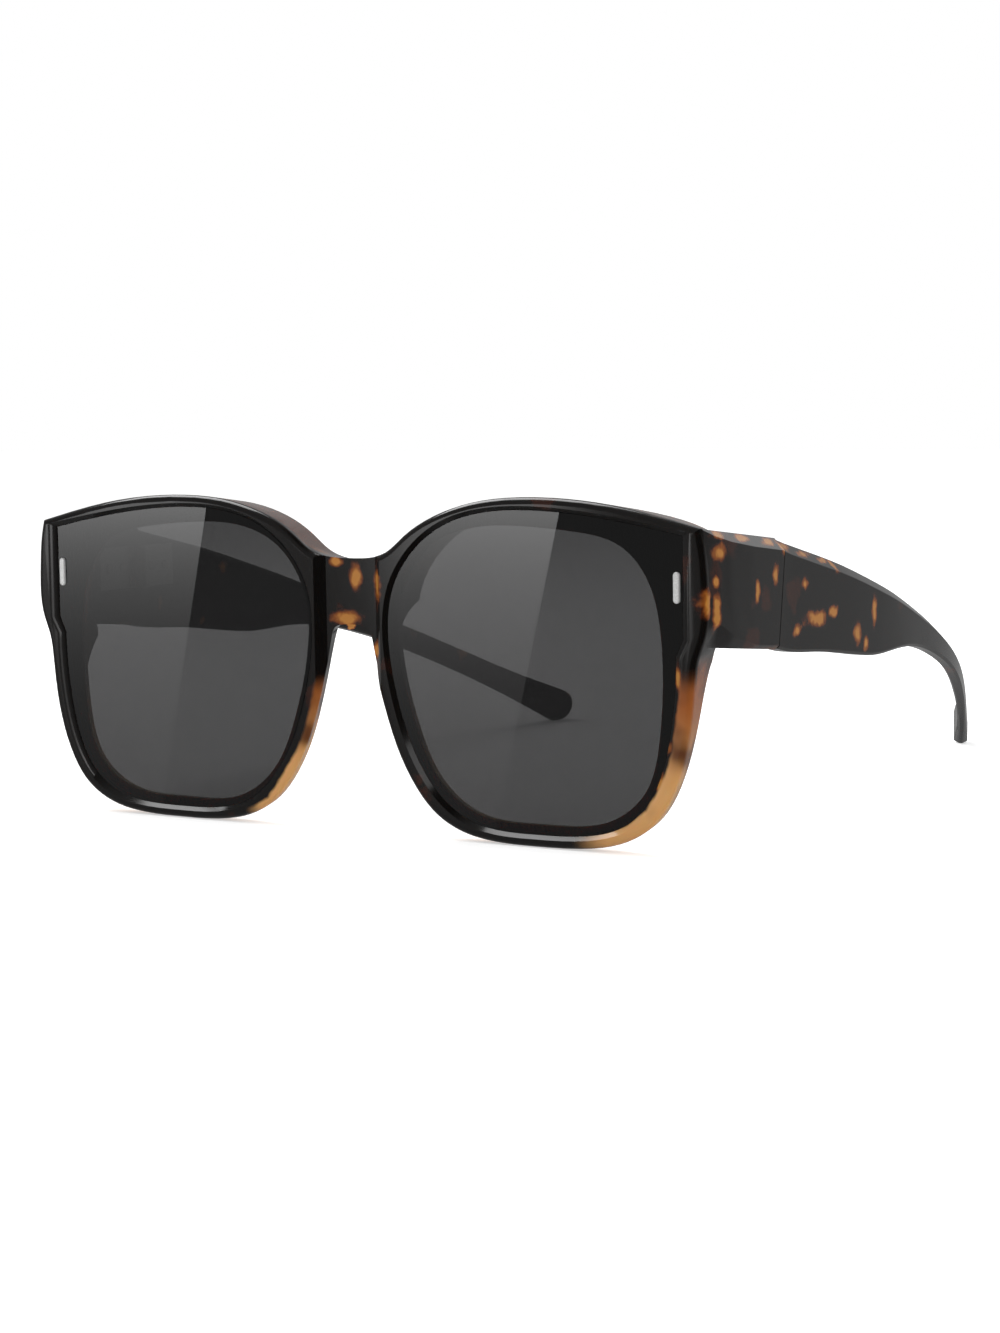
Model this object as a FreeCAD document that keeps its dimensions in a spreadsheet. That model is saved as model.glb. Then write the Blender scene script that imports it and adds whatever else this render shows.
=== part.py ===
import FreeCAD, Part
import math
import os

from FreeCAD import Vector

# Fitover sunglasses: one moulded front with deep walls behind it, two flat
# tinted lenses let into it, a bright bar on each outer corner, and two wide
# temples on three-knuckle hinges. Millimetres, X across the face with +X at
# the wearer's left, Y back towards the ears, Z up. The rims and the temple
# tips stand on Z = 0. Depths in the sheet are measured back from the crest
# of the rims, and every body is then moved forward by half of the length.

SIZES = [
    ("overall_length", 168.0),
    ("corner_across", 71.2),
    ("corner_height", 56.1),
    ("wall_depth", 11.5),
    ("lens_front", 0.8),
    ("lens_thickness", 2.0),
    ("ledge_back", 3.9),
    ("seat_clearance", 0.05),
    ("outer_round", 1.2),
    ("inner_bevel", 0.7),
    ("inner_bevel_side", 1.7),
    ("wall_draft", 1.2),
    ("wall_draft_side", 2.4),
    ("wall_draft_nasal", 4.5),
    ("cavity_drop", 0.5),
    ("cavity_gain_side", 0.3),
    ("bridge_recess", 1.5),
    ("bridge_half_width", 5.4),
    ("bridge_slope", 1.8),
    ("nasal_half_width", 22.0),
    ("side_outer", 73.6),
    ("side_inner", 70.1),
    ("corner_fall", 0.8),
    ("seam_bottom_depth", 25.9),
    ("seam_top_depth", 28.9),
    ("seam_gap", 0.15),
    ("side_bottom", 33.5),
    ("side_top", 53.1),
    ("side_top_ahead", 56.1),
    ("side_bottom_ahead", 36.2),
    ("side_foot_corner", 40.0),
    ("side_foot_edge", 0.7),
    ("side_foot_flat", 0.4),
    ("temple_chamfer", 2.2),
    ("temple_edge", 0.5),
    ("hinge_across", 68.3),
    ("hinge_depth", 27.3),
    ("hinge_height", 45.5),
    ("knuckle_radius", 1.4),
    ("knuckle_middle", 3.5),
    ("knuckle_outer", 2.4),
    ("knuckle_gap", 0.05),
    ("pin_radius", 0.6),
    ("pin_clearance", 0.03),
    ("pin_head_radius", 1.15),
    ("pin_head_height", 0.7),
    ("pin_slot_half_width", 0.15),
    ("pin_slot_depth", 0.3),
    ("leaf_thickness", 0.8),
    ("leaf_gap", 0.02),
    ("leaf_length", 9.5),
    ("leaf_start", 2.0),
    ("leaf_screw_radius", 0.55),
    ("leaf_screw_head", 0.95),
    ("leaf_screw_head_height", 0.35),
    ("leaf_screw_depth", 2.3),
    ("leaf_screw_first", 4.6),
    ("leaf_screw_pitch", 4.2),
    ("leaf_screw_clearance", 0.02),
    ("leaf_screw_hole_spare", 0.1),
    ("leaf_screw_slot_half_width", 0.12),
    ("leaf_screw_slot_depth", 0.15),
    ("web_inset", 0.5),
    ("web_proud", 0.3),
    ("web_gap", 0.2),
    ("accent_across", 66.8),
    ("accent_height", 46.1),
    ("accent_length", 5.4),
    ("accent_width", 1.3),
    ("accent_proud", 0.45),
    ("accent_sunk", 1.0),
    ("accent_clearance", 0.02),
    ("accent_bevel", 0.15),
]

# The outline of half of the front, seen from ahead: across and up.
BROW = [(4.6, 50.1), (8.0, 51.1), (11.9, 54.0), (16.4, 56.8), (21.7, 58.9), (28.0, 60.4), (36.5, 61.1),
        (45.0, 60.9), (54.0, 59.9), (63.5, 58.0)]
UNDER = [(72.0, 52.5), (72.5, 47.0), (72.6, 41.5), (71.9, 37.4), (70.6, 33.9), (69.9, 29.5), (69.3, 23.5),
         (68.2, 17.7), (66.1, 11.6), (62.6, 6.1), (57.0, 2.3), (49.0, 0.4), (39.0, 0.03), (30.0, 0.3),
         (23.5, 1.6), (18.0, 4.5), (13.4, 9.6), (9.9, 16.0), (7.4, 23.0), (5.4, 30.2), (4.3, 35.4),
         (3.6, 37.1), (2.3, 37.7)]

# The lens, from the foot of its notch under the eye and over the top to its outer corner.
LENS = [(66.5, 34.4), (66.3, 28.5), (65.6, 22.5), (64.1, 15.7), (61.2, 9.4), (56.2, 4.8), (48.5, 2.6),
        (39.0, 2.2), (30.5, 2.5), (24.3, 4.1), (19.0, 7.8), (14.7, 13.4), (11.6, 20.2), (9.5, 27.6),
        (8.4, 35.0), (8.6, 41.0), (9.8, 45.4), (12.3, 49.6), (16.2, 53.5), (21.4, 56.5), (28.0, 58.3),
        (37.0, 58.9), (46.0, 58.4), (56.5, 57.0), (67.9, 54.8)]
LENS_EDGE = [(67.9, 54.8), (67.9, 37.4), (66.5, 34.4)]

# The clear window in the ledge behind the lens, a closed curve.
WINDOW = [(9.8, 36.5), (11.3, 45.0), (16.4, 51.8), (25.0, 55.5), (36.0, 56.0), (47.0, 55.1), (55.4, 52.8),
          (60.6, 47.0), (62.9, 38.5), (63.3, 30.0), (62.6, 20.0), (59.8, 10.8), (53.0, 5.4), (39.0, 3.8),
          (26.0, 5.0), (18.2, 10.6), (13.2, 20.6), (10.7, 29.6)]

# Where the walls end behind, seen from the side: back and up.
TEMPORAL_REAR = [(4.3, -1.0), (4.3, 5.0), (4.6, 14.0), (5.8, 22.0), (8.4, 28.5), (12.5, 34.0)]
NASAL_REAR = [(4.3, -1.0), (4.4, 5.0), (4.7, 14.0), (4.6, 21.0), (4.3, 27.0), (4.5, 32.5), (7.0, 38.5),
              (12.5, 42.0)]

# Where the temple runs: how far back, its outer face across, its top, its underside, its thickness
# and the bevel of its two lower edges.
TEMPLE_RUN = [(20.0, 73.6, 54.7, 34.0, 3.5, 0.5), (30.0, 73.6, 52.6, 33.1, 3.5, 0.5),
              (40.0, 73.7, 50.4, 32.1, 3.5, 0.5), (56.0, 74.0, 46.8, 30.4, 3.4, 0.5),
              (68.0, 74.0, 43.6, 29.1, 3.3, 0.5), (79.0, 73.7, 40.5, 29.3, 3.2, 0.5),
              (90.0, 72.9, 37.0, 28.8, 3.0, 0.5), (104.0, 71.4, 32.3, 26.0, 2.8, 0.5),
              (120.0, 68.6, 26.4, 21.2, 2.6, 0.5), (136.0, 64.1, 20.0, 14.7, 2.3, 0.5),
              (150.0, 59.2, 14.0, 7.9, 2.0, 0.5), (160.0, 55.5, 9.8, 2.3, 2.6, 0.9),
              (169.0, 52.2, 6.0, -2.6, 3.3, 1.3)]

# The arm beside a lens: how far back, how far its outer face stands in at the foot and at the top,
# and how much of its slanted lower corner is left.
SIDE_RUN = [(1.2, 1.2, 2.0, 1.0), (4.0, 0.5, 1.2, 1.0), (9.0, 0.1, 0.5, 0.4), (17.0, 0.0, 0.1, 0.0),
            (30.0, 0.0, 0.0, 0.0)]

# The round end of the temple, seen from the side: back and up.
TEMPLE_TIP = [(163.6, 9.6), (166.4, 7.1), (168.0, 4.4), (166.9, 1.6), (163.8, 0.0), (160.0, 1.0)]

# How far out from the middle the cuts that make the slanted seams start, and how high they reach.
OUTBOARD = 60.0
SEAM_SPAN = (30.0, 58.0)

# How many points of an outline make one edge.
RUN_POINTS = 5

doc = FreeCAD.newDocument("fitover_sunglasses")
sheet = doc.addObject("Spreadsheet::Sheet", "Sizes")
for row, (alias, value) in enumerate(SIZES, start=1):
    sheet.set("A%d" % row, alias)
    sheet.set("B%d" % row, str(value))
    sheet.setAlias("B%d" % row, alias)
doc.recompute()


def size(alias):
    return float(getattr(sheet, alias))


def new_body(label):
    """Starts a sub-part whose depths count from the crest of the rims."""
    body = doc.addObject("PartDesign::Body", label)
    body.Label = label
    body.setExpression("Placement.Base.y", "-Sizes.overall_length / 2")
    return body


def new_sketch(body, name, role, offset=None):
    """Starts a sketch on one of the body's own planes, moved along its normal by an expression."""
    sketch = body.newObject("Sketcher::SketchObject", name)
    plane = [item for item in body.Origin.OriginFeatures if item.Role == role][0]
    sketch.AttachmentSupport = [(plane, "")]
    sketch.MapMode = "FlatFace"
    if offset is not None:
        sketch.setExpression("AttachmentOffset.Base.z", offset)
    return sketch


def mirrored(points, side):
    """Points for one side of the face: side is 1 for the wearer's left and -1 for the right."""
    return [(side * across, up) for across, up in points]


def add_lines(sketch, points):
    for start, end in zip(points, points[1:]):
        sketch.addGeometry(Part.LineSegment(Vector(*start, 0), Vector(*end, 0)), False)


def add_polygon(sketch, points):
    add_lines(sketch, points + points[:1])


def add_pieces(sketch, curve, stops):
    """Adds a curve in short runs, because a solid with very long curved edges measures badly."""
    stops = stops[:-1:RUN_POINTS] + stops[-1:]
    for start, end in zip(stops, stops[1:]):
        piece = curve.copy()
        piece.segment(start, end)
        sketch.addGeometry(piece, False)


def add_curve(sketch, points, model=None):
    """A curve through points, paced like a curve through the model points so that a loft keeps step."""
    pace = [0.0]
    for start, end in zip(model or points, (model or points)[1:]):
        pace.append(pace[-1] + math.dist(start, end))
    curve = Part.BSplineCurve()
    curve.interpolate(Points=[Vector(*point, 0) for point in points], Parameters=pace)
    add_pieces(sketch, curve, pace)


def add_loop(sketch, points):
    pace = [0.0]
    for start, end in zip(points, points[1:] + points[:1]):
        pace.append(pace[-1] + math.dist(start, end))
    curve = Part.BSplineCurve()
    curve.interpolate(Points=[Vector(*point, 0) for point in points], Parameters=pace, PeriodicFlag=True)
    add_pieces(sketch, curve, pace)


def cut(body, sketch, name, length=None, backwards=False, midplane=False):
    """Pockets a sketch and stops if it took nothing away."""
    before = body.Shape.Volume
    pocket = body.newObject("PartDesign::Pocket", name)
    pocket.Profile = sketch
    if length is None:
        pocket.Type = "ThroughAll"
    else:
        pocket.setExpression("Length", length)
    pocket.Reversed = backwards
    if midplane:
        pocket.SideType = "Symmetric"
    doc.recompute()
    if body.Shape.Volume > before - 0.01:
        raise ValueError(name + " cuts nothing")
    return pocket


def grown(points, outward, sideward, nasal):
    """An outline moved outwards: by one width up and down, one to the temples and one to the nose."""
    result = []
    count = len(points)
    for index, point in enumerate(points):
        before = points[index - 1]
        after = points[(index + 1) % count]
        first = normal(before, point)
        second = normal(point, after)
        share = 1 + first[0] * second[0] + first[1] * second[1]
        across = (first[0] + second[0]) / share
        up = (first[1] + second[1]) / share
        wide = sideward if across * point[0] > 0 else nasal
        result.append((point[0] + wide * across, point[1] + outward * up))
    return result


def normal(start, end):
    """The unit vector that points out of an outline that is drawn clockwise, seen from ahead."""
    step = (end[0] - start[0], end[1] - start[1])
    length = math.hypot(*step)
    return (-step[1] / length, step[0] / length)


def lens_outline(outward=0.0, sideward=0.0, nasal=0.0):
    """The lens's long curve and its straight outer edge, as two lists of points that meet at the ends."""
    whole = LENS + LENS_EDGE[1:-1]
    moved = grown(whole, outward, sideward, nasal)
    curve = moved[:len(LENS)]
    edge = [moved[len(LENS) - 1], moved[len(LENS)], moved[0]]
    return curve, edge


def add_lens_outline(sketch, side, outward=0.0, sideward=0.0, nasal=0.0):
    curve, edge = lens_outline(outward, sideward, nasal)
    add_curve(sketch, mirrored(curve, side))
    add_lines(sketch, mirrored(edge, side))


def add_front_outline(sketch, inset, side_inset, nasal_inset, fall=0.0):
    """The outline of the front, drawn clockwise from the right outer corner, moved inwards."""
    across = size("corner_across")
    height = size("corner_height")
    over = mirrored(BROW[::-1], -1) + [(0.0, 49.9)] + BROW
    under = UNDER + [(0.0, 37.8)] + mirrored(UNDER[::-1], -1)
    whole = [(-across, height)] + over + [(across, height)] + under
    moved = grown(whole, -inset, -side_inset, -nasal_inset)
    turn = len(over) + 1
    for corner in (0, turn):
        moved[corner] = (moved[corner][0], moved[corner][1] - fall)
    add_curve(sketch, moved[:turn + 1], whole[:turn + 1])
    add_curve(sketch, moved[turn:] + moved[:1], whole[turn:] + whole[:1])


def front_plate(body):
    """The whole front as one block: a rounded front edge, then sides that draw in towards the back."""
    radius = size("outer_round")
    sections = []
    for number, angle in enumerate((0, 30, 60, 90)):
        turn = math.radians(angle)
        depth = "-Sizes.outer_round * %.4f" % (1 - math.cos(turn))
        section = new_sketch(body, "front_outline_%d" % number, "XZ_Plane", depth)
        inset = radius * (1 - math.sin(turn))
        add_front_outline(section, inset, inset, inset)
        sections.append(section)
    rear = new_sketch(body, "rear_outline", "XZ_Plane", "-Sizes.wall_depth")
    add_front_outline(rear, size("wall_draft"), size("wall_draft_side"), size("wall_draft_nasal"),
                      size("corner_fall"))
    loft = body.newObject("PartDesign::AdditiveLoft", "front_block")
    loft.Profile = sections[0]
    loft.Sections = sections[1:] + [rear]
    loft.Ruled = True
    doc.recompute()


def bridge_recess(body):
    """The bridge lies a little behind the rims, with a slope up to each."""
    foot = size("bridge_half_width")
    top = foot + size("bridge_slope")
    deep = size("bridge_recess")
    sketch = new_sketch(body, "bridge_recess_outline", "XY_Plane")
    add_polygon(sketch, [(-top, -1.0), (top, -1.0), (top, 0.0), (foot, deep), (-foot, deep), (-top, 0.0)])
    cut(body, sketch, "bridge_recess", midplane=True)


def eye_openings(body):
    """Behind each lens a cavity inside the walls, a ledge with its window, and the seat of the lens."""
    for side, word in ((1, "left"), (-1, "right")):
        cavity = new_sketch(body, "cavity_outline_" + word, "XZ_Plane", "-Sizes.ledge_back")
        add_lens_outline(cavity, side, -size("cavity_drop"), size("cavity_gain_side"), 0.0)
        cut(body, cavity, "cavity_" + word)
        window = new_sketch(body, "window_outline_" + word, "XZ_Plane")
        add_loop(window, mirrored(WINDOW, side))
        cut(body, window, "window_" + word)
        seat = new_sketch(body, "seat_outline_" + word, "XZ_Plane")
        add_lens_outline(seat, side)
        cut(body, seat, "seat_" + word, "Sizes.lens_front + Sizes.lens_thickness")
        crest = new_sketch(body, "crest_" + word, "XZ_Plane")
        bevel = size("inner_bevel")
        add_lens_outline(crest, side, bevel, size("inner_bevel_side"), bevel)
        foot = new_sketch(body, "bevel_foot_" + word, "XZ_Plane", "-Sizes.lens_front")
        add_lens_outline(foot, side)
        loft = body.newObject("PartDesign::SubtractiveLoft", "inner_bevel_" + word)
        loft.Profile = crest
        loft.Sections = [foot]
        loft.Ruled = True
        doc.recompute()


def rear_trims(body):
    """The walls get shallower towards their foot, and between them the nose has room."""
    beyond = size("wall_depth") + 1.0
    nasal = new_sketch(body, "nasal_rear", "YZ_Plane")
    add_curve(nasal, NASAL_REAR)
    add_lines(nasal, [NASAL_REAR[-1], (beyond, NASAL_REAR[0][1]), NASAL_REAR[0]])
    cut(body, nasal, "nasal_trim", "Sizes.nasal_half_width * 2", midplane=True)
    for side, word in ((1, "left"), (-1, "right")):
        sign = "" if side > 0 else "-"
        temporal = new_sketch(body, "temporal_rear_" + word, "YZ_Plane", sign + "Sizes.nasal_half_width")
        add_curve(temporal, TEMPORAL_REAR)
        add_lines(temporal, [TEMPORAL_REAR[-1], (beyond, TEMPORAL_REAR[0][1]), TEMPORAL_REAR[0]])
        cut(body, temporal, "temporal_trim_" + word, backwards=side > 0)


def seam_line(gap=0.0):
    """The slanted seam between front and temple, seen from the side, from below it to above it."""
    low = size("side_bottom")
    slope = (size("seam_top_depth") - size("seam_bottom_depth")) / (size("side_top") - low)
    return [(size("seam_bottom_depth") + slope * (height - low) + gap, height) for height in SEAM_SPAN]


def side_section(depth, foot_inset, top_inset, slant):
    """A section of the arm: slant is how much of its slanted lower corner is left, from 1 to 0."""
    inner = size("side_inner")
    outer = size("side_outer")
    flat = outer - size("temple_chamfer")
    share = depth / size("seam_top_depth")
    low = size("side_bottom_ahead") + share * (size("side_bottom") - size("side_bottom_ahead"))
    high = size("side_top_ahead") + share * (size("side_top") - size("side_top_ahead"))
    edge = size("side_foot_edge")
    foot = outer - foot_inset
    top = outer - top_inset
    corner = low + edge + slant * (size("side_foot_corner") - low - edge)
    toe = foot - edge - slant * (foot - edge - inner - size("side_foot_flat"))
    return [(inner, low), (toe, low), (foot, corner), (top, high - (top - flat)), (flat, high),
            (inner, high)]


def end_pieces(body):
    """The arm on each outer corner that carries the hinge, from the corner back to the slanted seam."""
    behind = size("seam_top_depth") + 20.0
    for side, word in ((1, "left"), (-1, "right")):
        sections = []
        for number, station in enumerate(SIDE_RUN):
            section = new_sketch(body, "side_section_%d_%s" % (number, word), "XZ_Plane", "-%s" % station[0])
            add_polygon(section, mirrored(side_section(*station), side))
            sections.append(section)
        loft = body.newObject("PartDesign::AdditiveLoft", "side_" + word)
        loft.Profile = sections[0]
        loft.Sections = sections[1:]
        loft.Ruled = True
        doc.recompute()
        sketch = new_sketch(body, "seam_" + word, "YZ_Plane", "%d" % (side * OUTBOARD))
        add_polygon(sketch, seam_line() + [(behind, SEAM_SPAN[1]), (behind, SEAM_SPAN[0])])
        cut(body, sketch, "seam_cut_" + word, backwards=side > 0)


def screw_holes(body, side, word, direction):
    """Two blind holes for the screws of a hinge leaf, ahead of the hinge or behind it."""
    sign = "" if side > 0 else "-"
    sketch = new_sketch(body, "screw_holes_" + word, "YZ_Plane", sign + "Sizes.side_inner")
    radius = size("leaf_screw_radius") + size("leaf_screw_clearance")
    for number in range(2):
        along = size("leaf_screw_first") + number * size("leaf_screw_pitch")
        depth = size("hinge_depth") + direction * along
        circle = Part.Circle(Vector(depth, size("hinge_height"), 0), Vector(0, 0, 1), radius)
        sketch.addGeometry(circle, False)
    cut(body, sketch, "screw_hole_" + word, "Sizes.leaf_screw_depth + Sizes.leaf_screw_hole_spare",
        backwards=side > 0)


def front_frame():
    body = new_body("front_frame")
    front_plate(body)
    bridge_recess(body)
    eye_openings(body)
    rear_trims(body)
    end_pieces(body)
    for side, word in ((1, "left"), (-1, "right")):
        screw_holes(body, side, word, -1)
    return body


def lens(side, word):
    """A flat tinted plate that fills its seat, with a slot for the bar."""
    body = new_body("lens_" + word)
    sketch = new_sketch(body, "lens_outline_" + word, "XZ_Plane", "-Sizes.lens_front")
    gap = -size("seat_clearance")
    add_lens_outline(sketch, side, gap, gap, gap)
    pad = body.newObject("PartDesign::Pad", "lens_plate_" + word)
    pad.Profile = sketch
    pad.setExpression("Length", "Sizes.lens_thickness")
    pad.Reversed = True
    doc.recompute()
    slot = new_sketch(body, "slot_outline_" + word, "XZ_Plane", "-Sizes.lens_front")
    accent_outline(slot, side, 0.0)
    cut(body, slot, "slot_" + word, "Sizes.accent_sunk")
    return body


def accent_outline(sketch, side, gap):
    """A bar with round ends."""
    radius = size("accent_width") / 2 - gap
    reach = size("accent_length") / 2 - size("accent_width") / 2
    across = side * size("accent_across")
    middle = size("accent_height")
    ends = (middle + reach, middle - reach)
    for turn, height in zip((0.0, math.pi), ends):
        circle = Part.Circle(Vector(across, height, 0), Vector(0, 0, 1), radius)
        sketch.addGeometry(Part.ArcOfCircle(circle, turn, turn + math.pi), False)
    for edge in (across - radius, across + radius):
        add_lines(sketch, [(edge, ends[0]), (edge, ends[1])])


def accent(side, word):
    """The bright bar, pressed into its slot and standing a little proud of the lens."""
    body = new_body("accent_bar_" + word)
    sketch = new_sketch(body, "bar_outline_" + word, "XZ_Plane", "-(Sizes.lens_front - Sizes.accent_proud)")
    accent_outline(sketch, side, size("accent_clearance"))
    pad = body.newObject("PartDesign::Pad", "bar_" + word)
    pad.Profile = sketch
    pad.setExpression("Length", "Sizes.accent_proud + Sizes.accent_sunk - Sizes.accent_clearance")
    pad.Reversed = True
    doc.recompute()
    edges = ["Edge%d" % (index + 1) for index, edge in enumerate(pad.Shape.Edges)
             if edge.BoundBox.YMax < size("lens_front") - size("accent_proud") + 0.01]
    rounding = body.newObject("PartDesign::Chamfer", "bar_edge_" + word)
    rounding.Base = (pad, edges)
    rounding.setExpression("Size", "Sizes.accent_bevel")
    doc.recompute()
    return body


def temple_section(outer, top, bottom, thickness, foot):
    """The cross-section of a temple: a wide chamfer on the outer top edge, small ones on the others."""
    inner = outer - thickness
    wide = size("temple_chamfer") * thickness / TEMPLE_RUN[0][4]
    edge = size("temple_edge")
    return [(outer, top - wide), (outer - wide, top), (inner + edge, top), (inner, top - edge),
            (inner, bottom + foot), (inner + foot, bottom), (outer - foot, bottom), (outer, bottom + foot)]


def temple(side, word):
    """A wide flat arm through its sections, with its slanted front end and its round tip cut to shape."""
    body = new_body("temple_" + word)
    sections = []
    for number, station in enumerate(TEMPLE_RUN):
        section = new_sketch(body, "section_%d_%s" % (number, word), "XZ_Plane", "-%s" % station[0])
        add_polygon(section, mirrored(temple_section(*station[1:]), side))
        sections.append(section)
    loft = body.newObject("PartDesign::AdditiveLoft", "arm_" + word)
    loft.Profile = sections[0]
    loft.Sections = sections[1:]
    doc.recompute()
    gap = size("seam_gap")
    ahead = TEMPLE_RUN[0][0] - 1.0
    seam = new_sketch(body, "seam_" + word, "YZ_Plane")
    add_polygon(seam, seam_line(gap) + [(ahead, SEAM_SPAN[1]), (ahead, SEAM_SPAN[0])])
    cut(body, seam, "seam_cut_" + word, midplane=True)
    tip = new_sketch(body, "tip_" + word, "YZ_Plane")
    add_curve(tip, TEMPLE_TIP)
    beyond = TEMPLE_RUN[-1][0] + 1.0
    add_lines(tip, [TEMPLE_TIP[-1], (TEMPLE_TIP[-1][0], -5.0), (beyond, -5.0), (beyond, 14.0),
                    (TEMPLE_TIP[0][0], 14.0), TEMPLE_TIP[0]])
    cut(body, tip, "tip_cut_" + word, midplane=True)
    screw_holes(body, side, word, 1)
    return body


def block(name, side, across, back, up):
    """A box between pairs of sheet expressions, mirrored to the wearer's right when side is -1."""
    box = doc.addObject("Part::Box", name)
    for key, (low, high) in zip(("Length", "Width", "Height"), (across, back, up)):
        box.setExpression(key, "(%s) - (%s)" % (high, low))
    box.setExpression("Placement.Base.x", across[0] if side > 0 else "-(%s)" % across[1])
    box.setExpression("Placement.Base.y", back[0])
    box.setExpression("Placement.Base.z", up[0])
    return box


def rod(name, side, back, up, radius):
    """An upright cylinder on the hinge line."""
    cylinder = doc.addObject("Part::Cylinder", name)
    cylinder.setExpression("Radius", radius)
    cylinder.setExpression("Height", "(%s) - (%s)" % (up[1], up[0]))
    cylinder.setExpression("Placement.Base.x", "%d * Sizes.hinge_across" % side)
    cylinder.setExpression("Placement.Base.y", back)
    cylinder.setExpression("Placement.Base.z", up[0])
    return cylinder


def stud(name, side, across, back, up, radius):
    """A cylinder that lies across the face, from the first distance outwards to the second."""
    cylinder = doc.addObject("Part::Cylinder", name)
    cylinder.Placement.Rotation = FreeCAD.Rotation(Vector(0, 1, 0), 90 * side)
    cylinder.setExpression("Radius", radius)
    cylinder.setExpression("Height", "(%s) - (%s)" % (across[1], across[0]))
    cylinder.setExpression("Placement.Base.x", "%d * (%s)" % (side, across[0]))
    cylinder.setExpression("Placement.Base.y", back)
    cylinder.setExpression("Placement.Base.z", up)
    return cylinder


def joined(name, pieces):
    fused = doc.addObject("Part::MultiFuse", name)
    fused.Shapes = pieces
    fused.Refine = True
    return fused


def without(name, base, tools):
    """The base with every tool cut out of it."""
    result = doc.addObject("Part::Cut", name)
    result.Base = base
    result.Tool = tools[0] if len(tools) == 1 else joined(name + "_tools", tools)
    return result


def placed(item, label):
    """Names a sub-part and moves it forward with the bodies."""
    item.Label = label
    item.setExpression("Placement.Base.y", "-Sizes.overall_length / 2")
    return item


MIDDLE = ("Sizes.hinge_height - Sizes.knuckle_middle / 2", "Sizes.hinge_height + Sizes.knuckle_middle / 2")
LOWER = (MIDDLE[0] + " - Sizes.knuckle_gap - Sizes.knuckle_outer", MIDDLE[0] + " - Sizes.knuckle_gap")
UPPER = (MIDDLE[1] + " + Sizes.knuckle_gap", MIDDLE[1] + " + Sizes.knuckle_gap + Sizes.knuckle_outer")
LEAF_FACE = "Sizes.side_inner - Sizes.leaf_thickness"


def screw_depth(direction, number):
    sign = "+" if direction > 0 else "-"
    return "Sizes.hinge_depth %s (Sizes.leaf_screw_first + %d * Sizes.leaf_screw_pitch)" % (sign, number)


def hinge_leaf(side, word, direction):
    """One half of a hinge: a plate against the inner face, webs, and its knuckles round the pin."""
    name = ("front_leaf_" if direction < 0 else "temple_leaf_") + word
    near = "Sizes.hinge_depth %s Sizes.leaf_start" % ("-" if direction < 0 else "+")
    far = near + (" - " if direction < 0 else " + ") + "Sizes.leaf_length"
    inset = near + (" - " if direction < 0 else " + ") + "Sizes.web_inset"
    plate_back = (far, near) if direction < 0 else (near, far)
    web_back = (inset, "Sizes.hinge_depth") if direction < 0 else ("Sizes.hinge_depth", inset)
    knuckles = (LOWER, UPPER) if direction < 0 else (MIDDLE,)
    plate_across = (LEAF_FACE, "Sizes.side_inner - Sizes.leaf_gap")
    pieces = [block(name + "_plate", side, plate_across, plate_back, (LOWER[0], UPPER[1]))]
    for number, up in enumerate(knuckles):
        web = (LEAF_FACE + " - Sizes.web_proud", "Sizes.side_inner - Sizes.web_gap")
        pieces.append(block("%s_web_%d" % (name, number), side, web, web_back, up))
        pieces.append(rod("%s_knuckle_%d" % (name, number), side, "Sizes.hinge_depth", up,
                          "Sizes.knuckle_radius"))
    tools = [rod(name + "_bore", side, "Sizes.hinge_depth", (LOWER[0] + " - 1", UPPER[1] + " + 1"),
                 "Sizes.pin_radius + Sizes.pin_clearance")]
    for number in range(2):
        tools.append(stud("%s_hole_%d" % (name, number), side, (LEAF_FACE + " - 1", "Sizes.side_inner + 1"),
                          screw_depth(direction, number), "Sizes.hinge_height",
                          "Sizes.leaf_screw_radius + Sizes.leaf_screw_clearance"))
    return placed(without(name, joined(name + "_solid", pieces), tools), name)


def hinge_screw(side, word):
    """The pin of a hinge, with a slotted head on the top knuckle."""
    name = "hinge_screw_" + word
    head_up = (UPPER[1], UPPER[1] + " + Sizes.pin_head_height")
    shank_up = (LOWER[0], UPPER[1] + " + 0.1")
    shank = rod(name + "_shank", side, "Sizes.hinge_depth", shank_up, "Sizes.pin_radius")
    head = rod(name + "_head", side, "Sizes.hinge_depth", head_up, "Sizes.pin_head_radius")
    half = "Sizes.pin_slot_half_width"
    slot = block(name + "_slot", side, ("Sizes.hinge_across - 2", "Sizes.hinge_across + 2"),
                 ("Sizes.hinge_depth - " + half, "Sizes.hinge_depth + " + half),
                 (head_up[1] + " - Sizes.pin_slot_depth", head_up[1] + " + 1"))
    return placed(without(name, joined(name + "_solid", [shank, head]), [slot]), name)


def leaf_screws(side, word, direction):
    """The two small screws that hold a hinge leaf."""
    name = ("front_leaf_screws_" if direction < 0 else "temple_leaf_screws_") + word
    screws = []
    for number in range(2):
        one = "%s_%d" % (name, number)
        back = screw_depth(direction, number)
        up = "Sizes.hinge_height"
        tip = "Sizes.side_inner + Sizes.leaf_screw_depth"
        head_across = (LEAF_FACE + " - Sizes.leaf_screw_head_height", LEAF_FACE)
        shank = stud(one + "_shank", side, (LEAF_FACE + " - 0.1", tip), back, up, "Sizes.leaf_screw_radius")
        head = stud(one + "_head", side, head_across, back, up, "Sizes.leaf_screw_head")
        slot_across = (head_across[0] + " - 1", head_across[0] + " + Sizes.leaf_screw_slot_depth")
        half = "Sizes.leaf_screw_slot_half_width"
        slot = block(one + "_slot", side, slot_across, (back + " - " + half, back + " + " + half),
                     (up + " - 2", up + " + 2"))
        screws.append(without(one, joined(one + "_solid", [shank, head]), [slot]))
    group = doc.addObject("Part::Compound", name)
    group.Links = screws
    return placed(group, name)


def check(item):
    """Stops if a sub-part has no sound solid."""
    if item.Shape.isNull() or not item.Shape.isValid() or not item.Shape.Solids:
        raise ValueError(item.Label + " has no valid solid")


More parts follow.
